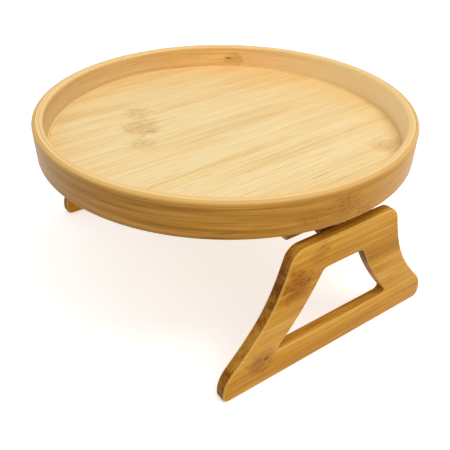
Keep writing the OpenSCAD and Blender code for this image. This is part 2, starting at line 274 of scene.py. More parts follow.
legBamboo = {
    "grain": "along Y, stacked in Z",
    "turn": 0.0,
    "dark": srgb(150, 88, 2),
    "mid": srgb(213, 149, 38),
    "pale": srgb(240, 190, 100),
    "broad": 0.60, "streak": 0.5, "fibre": 0.6, "tint": 0.50,
    "lines": 0.5,
    "lineColour": srgb(140, 88, 20),
    "knotPatch": srgb(172, 102, 0), "knotShade": 0.95,
    "knotColour": srgb(108, 58, 0), "knotFleck": 0.85,
    "knots": [(66, -36, 14, 12, 1.0), (20, -58, 12, 11, 0.9), (84, -20, 8, 10, 0.45)],
    "endGrain": (0.66, 0.62, 0.50, 1),      # what a face across the grain keeps of its colour
    # what the narrow faces keep of theirs, in dark strips and in pale ones: partly the strips' own
    # tones, partly painted shade
    "narrowStripAndShadeTints": [(0.46, 0.36, 0.20, 1), (0.86, 0.80, 0.66, 1)],
    "narrowShadeBelow": (0.75, 2.2),     # how far a face may look sideways, and how steeply it darkens into painted shade
    "paintedEdgeHighlight": srgb(240, 190, 108),    # painted highlight on the rounded edges
    "edgeHighlightRise": (2.6, 0.1),
    "roughness": 0.44, "shine": 0.08, "coat": 0.02,
}
boardBamboo = dict(
    legBamboo,
    grain="along X",
    dark=srgb(150, 98, 36),
    mid=srgb(198, 142, 64),
    knots=[],
    narrowStripAndShadeTints=None,
)


def mixColour(tree, factor, first, second, blend="MIX"):
    # inputs 6 and 7 and output 2 are this node's colour sockets
    node = addNode(tree, "ShaderNodeMix", data_type="RGBA", blend_type=blend)
    plug(tree, factor, node.inputs["Factor"])
    plug(tree, first, node.inputs[6])
    plug(tree, second, node.inputs[7])
    return node.outputs[2]


def grainSpace(tree, look):
    # the surface point along the grain, across it and into the wood, in millimetres
    place = addNode(tree, "ShaderNodeTexCoord").outputs["Object"]
    if look["grain"] == "round":
        parts = addNode(tree, "ShaderNodeSeparateXYZ")
        tree.links.new(place, parts.inputs[0])
        x, y, z = parts.outputs
        square = calc(tree, "ADD", calc(tree, "MULTIPLY", x, x), calc(tree, "MULTIPLY", y, y))
        radius = calc(tree, "SQRT", square)
        return {
            "cos": calc(tree, "DIVIDE", x, radius),
            "sin": calc(tree, "DIVIDE", y, radius),
            "across": calc(tree, "MULTIPLY", z, 1000.0),
            "depth": calc(tree, "MULTIPLY", radius, 1000.0),
        }
    turned = addNode(tree, "ShaderNodeMapping")
    turned.inputs["Scale"].default_value = (1000, 1000, 1000)
    turned.inputs["Rotation"].default_value[2] = math.radians(look["turn"])
    tree.links.new(place, turned.inputs["Vector"])
    parts = addNode(tree, "ShaderNodeSeparateXYZ")
    tree.links.new(turned.outputs[0], parts.inputs[0])
    x, y, z = parts.outputs
    orders = {"along Y": (y, x, z), "along Y, stacked in Z": (y, z, x), "along X": (x, y, z)}
    return dict(zip(("along", "across", "depth"), orders[look["grain"]]))


def grainNoise(tree, space, marks):
    # noise drawn out along the grain
    length, width, seed, detail = grainMarks[marks]
    join = addNode(tree, "ShaderNodeCombineXYZ")
    noise = addNode(tree, "ShaderNodeTexNoise", noise_dimensions="4D")
    noise.inputs["Scale"].default_value = 1.0
    noise.inputs["Detail"].default_value = detail
    if "cos" in space:
        reach = ringRadius / length
        plug(tree, calc(tree, "MULTIPLY", space["cos"], reach), join.inputs[0])
        plug(tree, calc(tree, "MULTIPLY", space["sin"], reach), join.inputs[1])
        plug(tree, calc(tree, "DIVIDE", space["across"], width), join.inputs[2])
        deep = calc(tree, "DIVIDE", space["depth"], width)
        plug(tree, calc(tree, "ADD", deep, seed), noise.inputs["W"])
    else:
        plug(tree, calc(tree, "DIVIDE", space["along"], length), join.inputs[0])
        plug(tree, calc(tree, "DIVIDE", space["across"], width), join.inputs[1])
        plug(tree, calc(tree, "DIVIDE", space["depth"], width), join.inputs[2])
        noise.inputs["W"].default_value = seed
    tree.links.new(join.outputs[0], noise.inputs["Vector"])
    return noise.outputs["Fac"]


def centred(tree, value, amount):
    # swings a 0 to 1 noise about zero by the given amount
    return calc(tree, "MULTIPLY", calc(tree, "SUBTRACT", value, 0.5), amount)


def sharpened(tree, value, mask):
    # zero up to the mask's start, then rising to 1
    start, slope = woodMasks[mask]
    return calc(tree, "MULTIPLY", calc(tree, "SUBTRACT", value, start), slope, clamp=True)


def knotMask(tree, space, ragged, across, along, halfWidth, halfLength):
    # a soft patch with a ragged edge, 1 in its middle
    u = calc(tree, "DIVIDE", calc(tree, "SUBTRACT", space["across"], across), halfWidth)
    if "cos" in space:
        # how far round the rim from the knot, as a chord
        angle, reach = math.radians(along), ringRadius / halfLength
        a = calc(tree, "MULTIPLY", calc(tree, "SUBTRACT", space["cos"], math.cos(angle)), reach)
        b = calc(tree, "MULTIPLY", calc(tree, "SUBTRACT", space["sin"], math.sin(angle)), reach)
        square = calc(tree, "ADD", calc(tree, "MULTIPLY", a, a), calc(tree, "MULTIPLY", b, b))
    else:
        v = calc(tree, "DIVIDE", calc(tree, "SUBTRACT", space["along"], along), halfLength)
        square = calc(tree, "MULTIPLY", v, v)
    far = calc(tree, "ADD", calc(tree, "MULTIPLY", u, u), square)
    return calc(tree, "SUBTRACT", calc(tree, "ADD", 1.0, ragged), far, clamp=True)


def addKnots(tree, space, look, colour, height):
    # bamboo's growth nodes: dark flecks, slightly sunken, on a shaded patch
    ragged = centred(tree, grainNoise(tree, space, "knotEdge"), knotShape["ragged"])
    fleck = sharpened(tree, grainNoise(tree, space, "fleck"), "fleck")
    for *place, strength in look["knots"]:
        mask = calc(tree, "MULTIPLY", knotMask(tree, space, ragged, *place), strength)
        shade = calc(tree, "MULTIPLY", mask, look["knotShade"])
        colour = mixColour(tree, shade, colour, look["knotPatch"])
        mask = calc(tree, "MULTIPLY", mask, knotShape["gain"], clamp=True)
        spots = calc(tree, "MULTIPLY", calc(tree, "MULTIPLY", mask, fleck), look["knotFleck"])
        colour = mixColour(tree, spots, colour, look["knotColour"])
        height = calc(tree, "SUBTRACT", height, calc(tree, "MULTIPLY", spots, knotShape["sunk"]))
    return colour, height


def makeBamboo(name, look, strips=None):
    material = bpy.data.materials.new(name)
    material.use_nodes = True
    tree = material.node_tree
    tree.nodes.clear()
    space = grainSpace(tree, look)
    marks = {kind: grainNoise(tree, space, kind) for kind in ("broad", "streak", "fibre")}
    tone = 0.5
    for kind, noise in marks.items():
        tone = calc(tree, "ADD", tone, centred(tree, noise, look[kind]))
    if strips:
        tone = calc(tree, "ADD", tone, strips(tree, space, look))
    ramp = addNode(tree, "ShaderNodeValToRGB")
    for kind, stop in zip(("dark", "pale"), ramp.color_ramp.elements):
        stop.position = toneStops[kind]
        stop.color = look[kind]
    ramp.color_ramp.elements.new(toneStops["mid"]).color = look["mid"]
    tree.links.new(tone, ramp.inputs["Fac"])
    colour = ramp.outputs["Color"]

    # fine dark vessel lines, which come and go along the grain
    vessel = sharpened(tree, grainNoise(tree, space, "vessel"), "vessel")
    vessel = calc(tree, "MULTIPLY", vessel, look["lines"])
    colour = mixColour(tree, vessel, colour, look["lineColour"])
    if look.get("seamLine"):
        # fainter where the broad noise is low
        gap = calc(tree, "ABSOLUTE", calc(tree, "SUBTRACT", space["across"], look["seamLine"]))
        seam = calc(tree, "SUBTRACT", 1.0, calc(tree, "DIVIDE", gap, look["seamHalf"]), clamp=True)
        share = calc(tree, "MULTIPLY", marks["broad"], look["seamGain"], clamp=True)
        colour = mixColour(tree, calc(tree, "MULTIPLY", seam, share), colour, look["lineColour"])
    height = marks["fibre"]
    if look["knots"]:
        colour, height = addKnots(tree, space, look, colour, height)
    if look.get("warmSide"):
        colour = warmed(tree, look, colour)
    # painted light and shade by side
    if look.get("paintedSideLight"):
        colour = paintSideLightAndShade(tree, look, space, colour)
    if look.get("endGrain"):
        colour = endGrained(tree, look, colour)
    # painted shade on the narrow faces and a painted highlight on their rounded edges
    if look.get("narrowStripAndShadeTints"):
        colour = paintNarrowShadeEdgeHighlight(tree, look, tone, colour)
    # faces that look up turn paler: partly the top edge's own tone, partly painted light from above
    if look.get("topToneAndPaintedLight"):
        up = calc(tree, "MULTIPLY", objectNormal(tree)[2], look["topToneAndLightGain"], clamp=True)
        top = mixColour(tree, marks["streak"], look["topToneAndPaintedLight"], look["pale"])
        colour = mixColour(tree, up, colour, top)

    shader = addNode(tree, "ShaderNodeBsdfPrincipled")
    tree.links.new(colour, shader.inputs["Base Color"])
    swing = centred(tree, marks["streak"], woodFinish["roughSwing"])
    rough = calc(tree, "ADD", look["roughness"], swing)
    tree.links.new(rough, shader.inputs["Roughness"])
    shader.inputs["Specular IOR Level"].default_value = look["shine"]
    shader.inputs["Coat Weight"].default_value = look["coat"]
    shader.inputs["Coat Roughness"].default_value = woodFinish["coatRoughness"]
    bump = addNode(tree, "ShaderNodeBump")
    bump.inputs["Strength"].default_value = woodFinish["bump"]
    bump.inputs["Distance"].default_value = woodFinish["bumpDepth"]
    tree.links.new(height, bump.inputs["Height"])
    tree.links.new(bump.outputs["Normal"], shader.inputs["Normal"])
    output = addNode(tree, "ShaderNodeOutputMaterial")
    tree.links.new(shader.outputs[0], output.inputs["Surface"])
    return material


def warmed(tree, look, colour):
    # towards one corner the bamboo turns more orange
    parts = addNode(tree, "ShaderNodeSeparateXYZ")
    tree.links.new(addNode(tree, "ShaderNodeTexCoord").outputs["Object"], parts.inputs[0])
    alongX, alongY = (calc(tree, "MULTIPLY", parts.outputs[k], look["warmSide"][k]) for k in (0, 1))
    share = calc(tree, "ADD", alongX, alongY, clamp=True)
    return mixColour(tree, share, colour, look["warmColour"])


def objectNormal(tree):
    parts = addNode(tree, "ShaderNodeSeparateXYZ")
    tree.links.new(addNode(tree, "ShaderNodeTexCoord").outputs["Normal"], parts.inputs[0])
    return parts.outputs


def endGrained(tree, look, colour):
    # faces across the grain are darker, as cut ends are
    end = objectNormal(tree)[1 if "along Y" in look["grain"] else 0]
    share = sharpened(tree, calc(tree, "ABSOLUTE", end), "endGrain")
    return mixColour(tree, share, colour, look["endGrain"], "MULTIPLY")


def paintSideLightAndShade(tree, look, space, colour):
    # painted light and shade: the rim is painted paler on one side and duller on the other
    alongX, alongY = look["paintedLightAxis"]
    side = calc(tree, "ADD", calc(tree, "MULTIPLY", space["cos"], alongX),
                calc(tree, "MULTIPLY", space["sin"], alongY))
    for sign, share, tone in look["paintedSideLight"]:
        mask = calc(tree, "MULTIPLY", side, sign * share, clamp=True)
        colour = mixColour(tree, mask, colour, tone)
    return colour


def paintNarrowShadeEdgeHighlight(tree, look, tone, colour):
    # narrow faces are darker, partly the strips' own tones and partly painted shade, and the
    # rounded edges next to them get a painted highlight
    out = calc(tree, "ABSOLUTE", objectNormal(tree)[0])
    limit, slope = look["narrowShadeBelow"]
    narrow = calc(tree, "MULTIPLY", calc(tree, "SUBTRACT", limit, out), slope, clamp=True)
    tint = mixColour(tree, sharpened(tree, tone, "paleStrip"), *look["narrowStripAndShadeTints"])
    colour = mixColour(tree, narrow, colour, tint, "MULTIPLY")
    # painted highlight on the rounded edges, strongest halfway round
    rise, start = look["edgeHighlightRise"]
    square = calc(tree, "MULTIPLY", out, out)
    arris = calc(tree, "SUBTRACT", square, calc(tree, "MULTIPLY", square, square))
    arris = calc(tree, "SUBTRACT", calc(tree, "MULTIPLY", arris, rise), start, clamp=True)
    return mixColour(tree, arris, colour, look["paintedEdgeHighlight"])


def slatTones(tree, space, look):
    # each floor slat carries its own tone
    slat = addNode(tree, "ShaderNodeAttribute", attribute_name="slatTone")
    return centred(tree, slat.outputs["Fac"], look["tint"])


legStrips = {
    "height": 11.6,             # of one glued strip, mm
    "topStrip": 13.0,           # what the saw left of the top one
    "tones": [0.58, 0.30, 0.30, 0.56, 0.72, 0.64, 0.50, 0.46],   # from the top edge down
}


def stripTones(tree, space, look):
    # the leg's glued strips, counted down from its top edge
    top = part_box("right_leg")[1].z / mm
    start = top - legStrips["topStrip"] + legStrips["height"]
    depth = calc(tree, "SUBTRACT", start, space["across"])
    count = len(legStrips["tones"])
    share = calc(tree, "DIVIDE", depth, legStrips["height"] * count)
    ramp = addNode(tree, "ShaderNodeValToRGB")
    ramp.color_ramp.interpolation = "CONSTANT"
    for k, value in enumerate(legStrips["tones"]):
        stops = ramp.color_ramp.elements
        stop = stops[0] if k == 0 else stops.new(k / count)
        stop.position = k / count
        stop.color = (value, value, value, 1)
    ramp.color_ramp.elements.remove(ramp.color_ramp.elements[-1])
    tree.links.new(share, ramp.inputs["Fac"])
    return centred(tree, ramp.outputs["Color"], look["tint"])


def crossTones(tree, space, look):
    # glued strips, each with a tone from fixed noise
    strip = calc(tree, "FLOOR", calc(tree, "DIVIDE", space["across"], crossStrips["width"]))
    pick = addNode(tree, "ShaderNodeTexWhiteNoise", noise_dimensions="1D")
    tree.links.new(strip, pick.inputs["W"])
    return centred(tree, pick.outputs["Value"], look["tint"] * crossStrips["swing"])


steelMarks = {
    "drawn": (900, 60, 900),        # marks to a metre each way
    "stain": 220.0,
    "stainKeeps": 0.72,             # share of the colour
    "bump": 0.2,
    "bumpDepth": 0.00003,
}
steelLook = {
    # the hinge's dark bronze is partly the metal's own colour and partly painted shade, darkened to
    # stand in for the shaded gap under the tray
    "hinge": {"colour": srgb(112, 74, 50), "roughness": 0.42, "scratch": 0.25},
    "spring": {"colour": srgb(150, 146, 140), "roughness": 0.28, "scratch": 0.15},
    "screw": {"colour": srgb(168, 160, 146), "roughness": 0.30, "scratch": 0.2},
}


def makeSteel(name, look):
    material = bpy.data.materials.new(name)
    material.use_nodes = True
    tree = material.node_tree
    tree.nodes.clear()
    place = addNode(tree, "ShaderNodeTexCoord").outputs["Object"]
    drawn = addNode(tree, "ShaderNodeMapping")
    drawn.inputs["Scale"].default_value = steelMarks["drawn"]
    tree.links.new(place, drawn.inputs["Vector"])
    lines = addNode(tree, "ShaderNodeTexNoise")
    lines.inputs["Scale"].default_value = 1.0
    lines.inputs["Detail"].default_value = 3.0
    tree.links.new(drawn.outputs[0], lines.inputs["Vector"])
    stain = addNode(tree, "ShaderNodeTexNoise")
    stain.inputs["Scale"].default_value = steelMarks["stain"]
    tree.links.new(place, stain.inputs["Vector"])
    darker = (*(c * steelMarks["stainKeeps"] for c in look["colour"][:3]), 1)
    shader = addNode(tree, "ShaderNodeBsdfPrincipled")
    shader.inputs["Metallic"].default_value = 1.0
    colour = mixColour(tree, stain.outputs["Fac"], look["colour"], darker)
    tree.links.new(colour, shader.inputs["Base Color"])
    scratch = centred(tree, lines.outputs["Fac"], look["scratch"])
    tree.links.new(calc(tree, "ADD", look["roughness"], scratch), shader.inputs["Roughness"])
    bump = addNode(tree, "ShaderNodeBump")
    bump.inputs["Strength"].default_value = steelMarks["bump"]
    bump.inputs["Distance"].default_value = steelMarks["bumpDepth"]
    tree.links.new(lines.outputs["Fac"], bump.inputs["Height"])
    tree.links.new(bump.outputs["Normal"], shader.inputs["Normal"])
    output = addNode(tree, "ShaderNodeOutputMaterial")
    tree.links.new(shader.outputs[0], output.inputs["Surface"])
    return material


materials = {
    "floor": makeBamboo("floorBamboo", floorBamboo, slatTones),
    "rim": makeBamboo("rimBamboo", rimBamboo, crossTones),
    "rimInside": makeBamboo("rimInsideBamboo", innerRimBamboo, crossTones),
    "leg": makeBamboo("legBamboo", legBamboo, stripTones),
    "board": makeBamboo("boardBamboo", boardBamboo, crossTones),
    "hinge": makeSteel("hingeSteel", steelLook["hinge"]),
    "spring": makeSteel("springSteel", steelLook["spring"]),
    "screw": makeSteel("screwSteel", steelLook["screw"]),
}
print("materials made:", len(materials))


# shared making

weld = 1e-6         # vertices closer than this become one, in metres
smoothBelow = {"rim": 35, "eased": 32, "spring": 50, "screw": 30}       # degrees between faces


def addObject(name, mesh):
    made = bpy.data.objects.new(name, mesh)
    bpy.context.collection.objects.link(made)
    return made


def settle(piece, body, slot, *nodes):
    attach(piece, body)
    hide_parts(*nodes)


def bakeModifiers(made, name):
    # the evaluated shape becomes a plain mesh on a fresh object
    bpy.context.view_layer.update()
    seen = made.evaluated_get(bpy.context.evaluated_depsgraph_get())
    mesh = bpy.data.meshes.new_from_object(seen)
    mesh.name = name
    bpy.data.objects.remove(made)
    return addObject(name, mesh)


def smooth(mesh, kind):
    mesh.shade_smooth()
    mesh.set_sharp_from_angle(angle=math.radians(smoothBelow[kind]))


def newTree(name, inputs):
    # a geometry tree with named inputs: {name: socket kind}
    tree = bpy.data.node_groups.new(name, "GeometryNodeTree")
    tree.interface.new_socket("Geometry", in_out="OUTPUT", socket_type="NodeSocketGeometry")
    for label, kind in inputs.items():
        tree.interface.new_socket(label, in_out="INPUT", socket_type=kind)
    return tree, addNode(tree, "NodeGroupInput"), addNode(tree, "NodeGroupOutput")


def runTree(tree, name, values):
    # sets each input by its identifier, then bakes
    holder = addObject(name + "Maker", bpy.data.meshes.new(name + "Maker"))
    modifier = holder.modifiers.new("maker", "NODES")
    modifier.node_group = tree
    for item in tree.interface.items_tree:
        if item.in_out == "INPUT" and item.name in values:
            modifier[item.identifier] = values[item.name]
    return bakeModifiers(holder, name)


def makeSweepTree():
    # sweeps a closed section along a path
    tree, given, result = newTree("sweepSection", {
        "Path": "NodeSocketObject", "Section": "NodeSocketObject",
        "Material": "NodeSocketMaterial"})
    path = addNode(tree, "GeometryNodeObjectInfo")
    section = addNode(tree, "GeometryNodeObjectInfo")
    upright = addNode(tree, "GeometryNodeSetCurveNormal")
    upright.mode = "Z_UP"
    sweep = addNode(tree, "GeometryNodeCurveToMesh")
    sweep.inputs["Fill Caps"].default_value = True
    realize = addNode(tree, "GeometryNodeRealizeInstances")
    paint = addNode(tree, "GeometryNodeSetMaterial")
    tree.links.new(given.outputs["Path"], path.inputs["Object"])
    tree.links.new(given.outputs["Section"], section.inputs["Object"])
    tree.links.new(path.outputs["Geometry"], upright.inputs[0])
    tree.links.new(upright.outputs[0], sweep.inputs["Curve"])
    tree.links.new(section.outputs["Geometry"], sweep.inputs["Profile Curve"])
    tree.links.new(sweep.outputs[0], realize.inputs[0])
    tree.links.new(realize.outputs[0], paint.inputs["Geometry"])
    tree.links.new(given.outputs["Material"], paint.inputs["Material"])
    tree.links.new(paint.outputs[0], result.inputs[0])
    return tree


def curveObject(name, points, closed):
    curve = bpy.data.curves.new(name, "CURVE")
    curve.dimensions = "3D"
    spline = curve.splines.new("POLY")
    spline.points.add(len(points) - 1)
    for point, place in zip(spline.points, points):
        point.co = (*place, 1)
    spline.use_cyclic_u = closed
    return addObject(name, curve)


def circlePoints(radius, count):
    angles = [2 * math.pi * k / count for k in range(count)]
    return [(radius * math.cos(a), radius * math.sin(a), 0) for a in angles]


sweepTree = makeSweepTree()


def mendNormals(piece):
    shape = bmesh.new()
    shape.from_mesh(piece.data)
    bmesh.ops.remove_doubles(shape, verts=shape.verts, dist=weld)
    bmesh.ops.recalc_face_normals(shape, faces=shape.faces)
    shape.to_mesh(piece.data)
    shape.free()


# rim plies

rimSetup = {
    "glueGap": 0.05 * mm,
    "segments": 288,        # round the ring
    "round": 2.0 * mm,
    "cove": 1.0 * mm,
    "seam": 0.25 * mm,      # tiny rounding of each ply's hidden corners, so the glue lines show
    "steps": 6,             # round each corner
}


def roundedSection(corners, steps):
    # corners are (x, y, radius)
    points = []
    count = len(corners)
    for k in range(count):
        here = Vector(corners[k][:2])
        radius = corners[k][2]
        before = (Vector(corners[k - 1][:2]) - here).normalized()
        after = (Vector(corners[(k + 1) % count][:2]) - here).normalized()
        half = before.angle(after) / 2
        start = here + before * radius / math.tan(half)
        end = here + after * radius / math.tan(half)
        centre = here + (before + after).normalized() * radius / math.sin(half)
        for s in range(steps + 1):
            t = s / steps
            arm = (start - centre).lerp(end - centre, t).normalized() * radius
            points.append(centre + arm)
    return points


def makeRim(setup):
    low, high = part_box("rim_outer_ply")
    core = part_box("rim_core_ply")[1].x
    innerLow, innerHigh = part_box("rim_inner_ply")
    outer, inner = high.x, innerHigh.x
    top, foot = high.z, innerLow.z
    seam, edge, glue = setup["seam"], setup["round"], setup["glueGap"]
    inside = inner - (outer - core) + glue
    plies = {
        "rim_outer_ply": ("rim", [(outer, top, edge), (core + glue, top, seam),
                                  (core + glue, low.z, seam), (outer, low.z, edge)]),
        "rim_core_ply": ("rimInside", [(core, top, seam), (inner + glue, top, seam),
                                       (inner + glue, low.z, seam), (core, low.z, seam)]),
        "rim_inner_ply": ("rimInside", [(inner, top, seam), (inside, top, edge),
                                        (inside, foot, seam), (inner, foot, seam)]),
    }
    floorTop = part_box("tray_floor")[1].z
    for name, (finish, corners) in plies.items():
        section = roundedSection(corners, setup["steps"])
        if name == "rim_inner_ply":
            section = withCove(section, inside, foot, floorTop, setup)
        section = [(p[0] - outer, -p[1], 0) for p in section]
        sectionObject = curveObject(name + "Section", section, True)
        path = curveObject(name + "Path", circlePoints(outer, setup["segments"]), True)
        ply = runTree(sweepTree, name + "_bent", {
            "Path": path, "Section": sectionObject, "Material": materials[finish]})
        bpy.data.objects.remove(sectionObject)
        bpy.data.objects.remove(path)
        mendNormals(ply)
        smooth(ply.data, "rim")
        settle(ply, "tray", "rim_bamboo", name)
    print("rim plies bent, wall", round((outer - inside) / mm, 2), "mm")


def withCove(section, inside, foot, floorTop, setup):
    # the inner ply runs out into a hollow fillet on the floor, with its foot in the floor's rebate
    cove, seam = setup["cove"], setup["seam"]
    kept = [p for p in section if not (p[0] < inside + seam * 1.01 and p[1] < floorTop + cove)]
    angles = [math.pi / 2 * k / setup["steps"] for k in range(setup["steps"] + 1)]
    arc = [Vector((inside - cove + cove * math.cos(a), floorTop + cove - cove * math.sin(a)))
           for a in angles]
    last = max(range(len(kept)), key=lambda k: (kept[k][0] < inside + seam, -kept[k][1]))
    return kept[:last + 1] + arc + [Vector((inside - cove, foot))] + kept[last + 1:]


makeRim(rimSetup)


# floor slats

floorSetup = {
    "slats": 12,
    "groove": 0.03 * mm,        # half of the line between two slats
    "arcSteps": 20,
    "chamfer": 0.12 * mm,
    "rebate": 0.8 * mm,
    "rebateRadius": 116.95 * mm,
    "tip": 0.02 * mm,           # how far the outermost slats stop short of the circle
    # each slat's, from -X to +X
    "tones": [0.35, 0.62, 0.45, 0.30, 0.66, 0.58, 0.48, 0.70, 0.52, 0.62, 0.50, 0.66],
}


def arcRing(x0, x1, radius, steps, tip):
    # a slat's outline inside a circle: the far arc from x0 to x1, then the near one back
    a, b = max(x0, tip - radius), min(x1, radius - tip)
    xs = [a + (b - a) * s / steps for s in range(steps + 1)]
    ends = [(x, math.sqrt(radius ** 2 - x ** 2)) for x in xs]
    return ends + [(x, -y) for x, y in reversed(ends)]


def slatFaces(shape, x0, x1, radius, heights, setup):
    # one slat: full length up to the rebate, then cut back to the smaller circle
    steps = setup["arcSteps"]
    outline = arcRing(x0, x1, radius, steps, setup["tip"])
    cutBack = arcRing(x0, x1, setup["rebateRadius"], steps, setup["tip"])
    bottom, step, top = heights
    levels = ((outline, bottom), (outline, step), (cutBack, step), (cutBack, top))
    rings = [[shape.verts.new((x, y, z)) for x, y in ring] for ring, z in levels]
    faces = [shape.faces.new(rings[0]), shape.faces.new(rings[-1])]
    count = len(outline)
    for i in range(count):
        j = (i + 1) % count
        if i in (steps, count - 1) and abs(outline[i][0] - cutBack[i][0]) < 1e-7:
            # the slat's straight side is one face from bottom to top
            up, down = [ring[i] for ring in rings], [ring[j] for ring in reversed(rings)]
            faces.append(shape.faces.new(up + down))
        else:
            for a, b in zip(rings, rings[1:]):
                faces.append(shape.faces.new((a[i], a[j], b[j], b[i])))
    return faces


def makeFloor(setup):
    low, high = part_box("tray_floor")
    radius = high.x
    width = 2 * radius / setup["slats"]
    heights = (low.z, high.z - setup["rebate"], high.z)
    shape = bmesh.new()
    toneLayer = shape.faces.layers.float.new("slatTone")
    for k in range(setup["slats"]):
        x0 = -radius + k * width + setup["groove"]
        x1 = x0 + width - 2 * setup["groove"]
        for face in slatFaces(shape, x0, x1, radius, heights, setup):
            face[toneLayer] = setup["tones"][k]
    bmesh.ops.recalc_face_normals(shape, faces=shape.faces)
    mesh = bpy.data.meshes.new("tray_floor_slats")
    shape.to_mesh(mesh)
    shape.free()
    mesh.materials.append(materials["floor"])
    floor = addObject("tray_floor_slats", mesh)
    bevel = floor.modifiers.new("easedEdges", "BEVEL")
    bevel.width = setup["chamfer"]
    bevel.segments = 1
    bevel.limit_method = "ANGLE"
    floor = bakeModifiers(floor, "tray_floor_slats")
    settle(floor, "tray", "floor_bamboo", "tray_floor")
    print("floor laid with", setup["slats"], "slats")


makeFloor(floorSetup)


# pieces cut from the solid: legs, board, hinge leaves and pins

cutAngles = {"flat": 0.5, "sharp": 30}      # degrees: merged below flat, eased above sharp


def easedCopy(node, name, setup, material, wanted=None):
    # a merged copy of a node's mesh, with its wanted sharp edges rounded
    source = bpy.data.objects[node]
    shape = bmesh.new()
    shape.from_mesh(source.data)
    bmesh.ops.remove_doubles(shape, verts=shape.verts, dist=2 * weld)
    bmesh.ops.dissolve_limit(shape, angle_limit=math.radians(cutAngles["flat"]),
                             verts=shape.verts, edges=shape.edges)
    weight = shape.edges.layers.float.new("bevel_weight_edge")
    for edge in shape.edges:
        if len(edge.link_faces) == 2 and edge.calc_face_angle(0) > math.radians(cutAngles["sharp"]):
            if wanted is None or wanted(edge):
                edge[weight] = 1.0
    mesh = bpy.data.meshes.new(name)
    shape.to_mesh(mesh)
    shape.free()
    mesh.materials.clear()
    mesh.materials.append(material)
    piece = addObject(name, mesh)
    smooth(mesh, "eased")
    bevel = piece.modifiers.new("easedEdges", "BEVEL")
    bevel.limit_method = "WEIGHT"
    bevel.width = setup["edgeRound"]
    bevel.segments = setup["segments"]
    bevel.use_clamp_overlap = False
    piece = bakeModifiers(piece, name)
    smooth(piece.data, "eased")
    return piece


# reach and drop hold the hinge's recess, whose edges stay square
legSetup = {"edgeRound": 1.6 * mm, "segments": 4, "hingeReach": 16.3 * mm, "hingeDrop": 17.0 * mm}
boardSetup = {"edgeRound": 1.2 * mm, "segments": 3, "hingeReach": 16.3 * mm, "edgeBand": 4.2 * mm}
hingeSetup = {"edgeRound": 0.15 * mm, "segments": 2}
touch = 1e-5        # two places closer than this are the same, in metres


def makeLeg(side, setup):
    node = side + "_leg"
    low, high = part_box(node)

    def onOutline(edge):
        # leaves the hinge recess and its screw holes square
        a, b = edge.verts[0].co, edge.verts[1].co
        middle = (a + b) / 2
        inHinge = abs(middle.y) < setup["hingeReach"] and middle.z > high.z - setup["hingeDrop"]
        innerHalf = abs(middle.x) < abs(low.x + high.x) / 2
        onFace = any(abs(v.x - face) < touch for v in (a, b) for face in (low.x, high.x))
        flat = abs(a.x - b.x) < touch
        return flat and onFace and not (inHinge and innerHalf)

    leg = easedCopy(node, node + "_plate", setup, materials["leg"], onOutline)
    settle(leg, side + "_leg", "leg_bamboo", node)


def makeBoard(setup):
    low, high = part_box("base_board")

    def onOutline(edge):
        # leaves the screw holes and the hinge recesses square
        a, b = edge.verts[0].co, edge.verts[1].co
        band = setup["edgeBand"]
        edgeOut = all(abs(abs(v.y) - high.y) < band or abs(abs(v.x) - high.x) < band
                      for v in (a, b))
        level = abs(a.z - b.z) < touch and min(abs(a.z - low.z), abs(a.z - high.z)) < touch
        byHinge = abs((a.y + b.y) / 2) < setup["hingeReach"] and abs(a.z - low.z) < touch
        return edgeOut and level and not byHinge

    board = easedCopy("base_board", "base_board_plank", setup, materials["board"], onOutline)
    settle(board, "tray", "board_bamboo", "base_board")


def makeHinge(side, setup):
    bodies = {"board_leaf": "tray", "leg_leaf": side + "_leg", "hinge_pin": "tray"}
    for part, body in bodies.items():
        node = side + "_" + part
        piece = easedCopy(node, node + "_pressed", setup, materials["hinge"])
        settle(piece, body, "hinge_steel", node)


makeBoard(boardSetup)
for side in sides:
    makeLeg(side, legSetup)
    makeHinge(side, hingeSetup)
print("legs, board and hinges cut")


# springs

springSetup = {
    "wireRadius": 0.55 * mm,
    "meanRadius": 2.38 * mm,
    "turns": 4,
    "pitch": 1.7 * mm,
    "startAngle": 200,          # degrees round the pin
    "bendRadius": 0.8 * mm,
    "bendSteps": 6,
    "tang": 2.0 * mm,
    "stepsPerTurn": 32,
    "wireSides": 14,
}


def pinMiddle(side):
    low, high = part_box(side + "_hinge_pin")
    return (low + high) / 2


def springPath(side, setup):
    axis = pinMiddle(side)
    sign = sides[side]
    length = setup["turns"] * setup["pitch"]
    first = math.radians(setup["startAngle"])
    last = first + 2 * math.pi * setup["turns"]
    radius, bend = setup["meanRadius"], setup["bendRadius"]

    def onCoil(a, y):
        return Vector((radius * math.cos(a), y, radius * math.sin(a)))

    def lead(a, way):
        # the wire turns out of the coil and runs straight along the pin
        points = []
        forward = Vector((-math.sin(a), 0, math.cos(a)))
        for k in range(1, setup["bendSteps"] + 1):
            t = math.pi / 2 * k / setup["bendSteps"]
            outward = Vector((0, way * bend * (1 - math.cos(t)), 0))
            ahead = way * forward * bend * math.sin(t)
            points.append(onCoil(a, way * length / 2) + ahead + outward)
        points.append(points[-1] + Vector((0, way * (setup["wireRadius"] + setup["tang"]), 0)))
        return points

    count = setup["turns"] * setup["stepsPerTurn"]
    coil = [onCoil(first + (last - first) * k / count, length * (k / count - 0.5))
            for k in range(count + 1)]
    local = list(reversed(lead(first, -1))) + coil + lead(last, 1)
    return [(axis.x + sign * p.x, sign * p.y, axis.z + p.z) for p in local]


